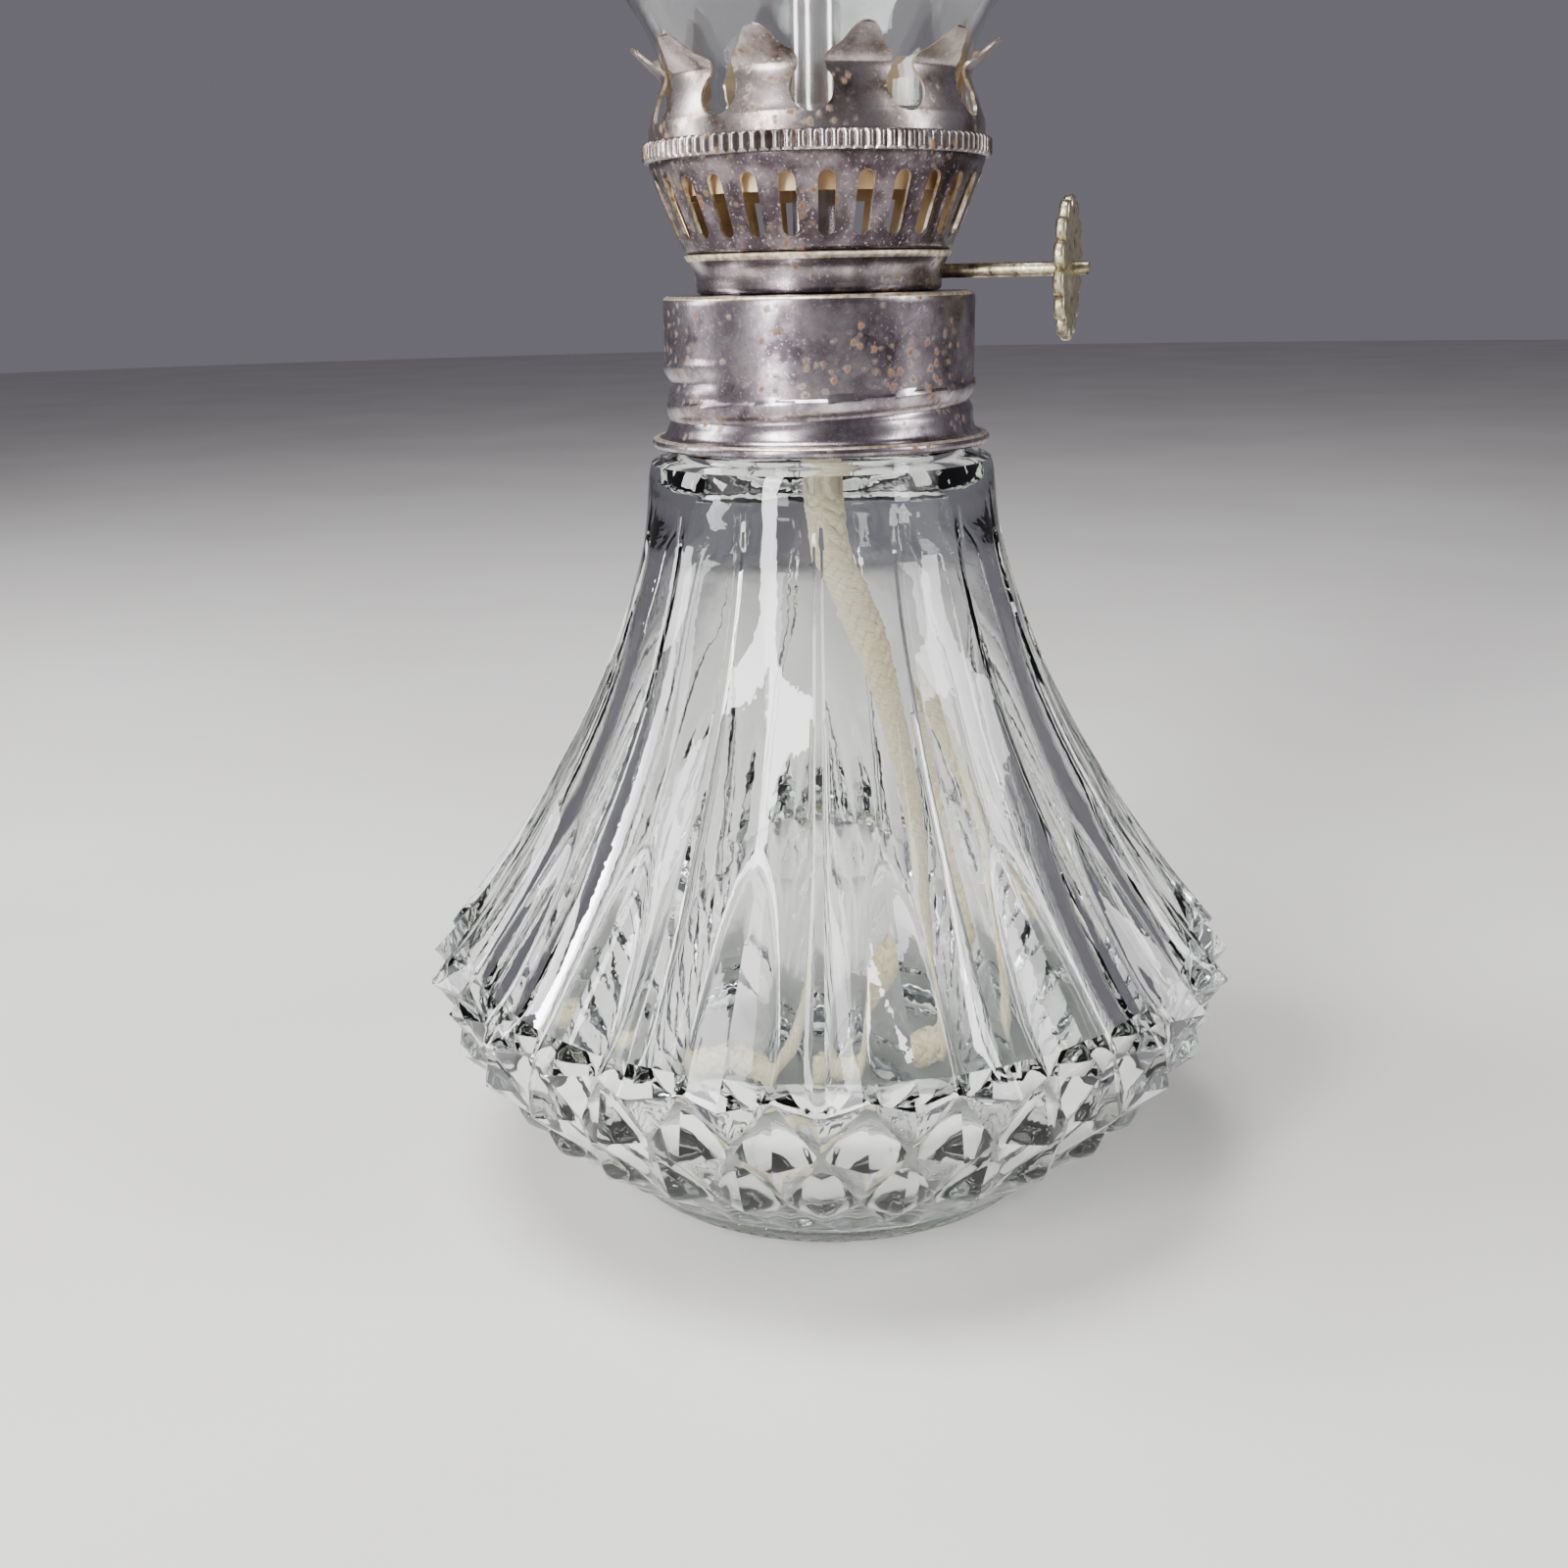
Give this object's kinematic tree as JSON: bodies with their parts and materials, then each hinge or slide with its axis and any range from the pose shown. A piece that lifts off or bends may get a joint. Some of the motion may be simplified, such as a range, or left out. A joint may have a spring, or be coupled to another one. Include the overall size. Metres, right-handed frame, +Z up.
{
  "type": "oil lamp",
  "caption": "Round-wick oil lamp: pressed-glass font with diamonds and ribs, screw-on burner with wick winder and slotted air basket, and a glass chimney in spring prongs.",
  "frame": {"origin": "centre of the foot, on the surface that the lamp stands on", "axes": "+Z up along the lamp's axis; +X along the winder's spindle, towards the knob"},
  "size_m": [0.0946, 0.0948, 0.232],
  "materials": {
    "pressed_glass": "polished",
    "blown_glass": "polished",
    "plated_steel": "dulled",
    "nickel_silver": "worn",
    "brass": "satin",
    "cork_rubber": "matt",
    "braided_cotton": "matt"
  },
  "bodies": {
    "font": {"font_glass": "pressed_glass", "wick_tail": "braided_cotton"},
    "gasket": {"cap_gasket": "cork_rubber"},
    "burner": {"screw_collar": "plated_steel", "burner_cup": "plated_steel", "tube_flange": "brass", "wick_tube": "plated_steel", "wheel_bracket": "plated_steel", "air_basket": "plated_steel", "prong_crown": "plated_steel", "air_diffuser": "plated_steel"},
    "winder": {"spindle": "nickel_silver", "spur_wheel": "brass", "wick_knob": "nickel_silver"},
    "chimney": {"chimney": "blown_glass"},
    "wick": {"wick": "braided_cotton"}
  },
  "joints": [
    {"name": "cap_lift", "type": "slide", "parent": "font", "child": "gasket", "axis": [0, 0, 1], "range_m": [0, 0.0064]},
    {"name": "cap_turn", "type": "hinge", "parent": "gasket", "child": "burner", "pos_m": [0, 0, 0.09], "axis": [0, 0, 1], "range_deg": [0, 540]},
    {"name": "chimney_lift", "type": "slide", "parent": "burner", "child": "chimney", "axis": [0, 0, 1], "range_m": [0, 0.03]},
    {"name": "winder_turn", "type": "hinge", "parent": "burner", "child": "winder", "pos_m": [0, 0.005, 0.1036], "axis": [1, 0, 0], "range_deg": [-135, 135]},
    {"name": "wick_feed", "type": "slide", "parent": "burner", "child": "wick", "axis": [0, 0, 1], "range_m": [-0.00636, 0.00636]}
  ],
  "couplings": [
    {"joint": "cap_lift", "follows": "cap_turn", "m_per_rad": 0.00066845},
    {"joint": "winder_turn", "follows": "wick_feed", "rad_per_m": -370.37}
  ]
}
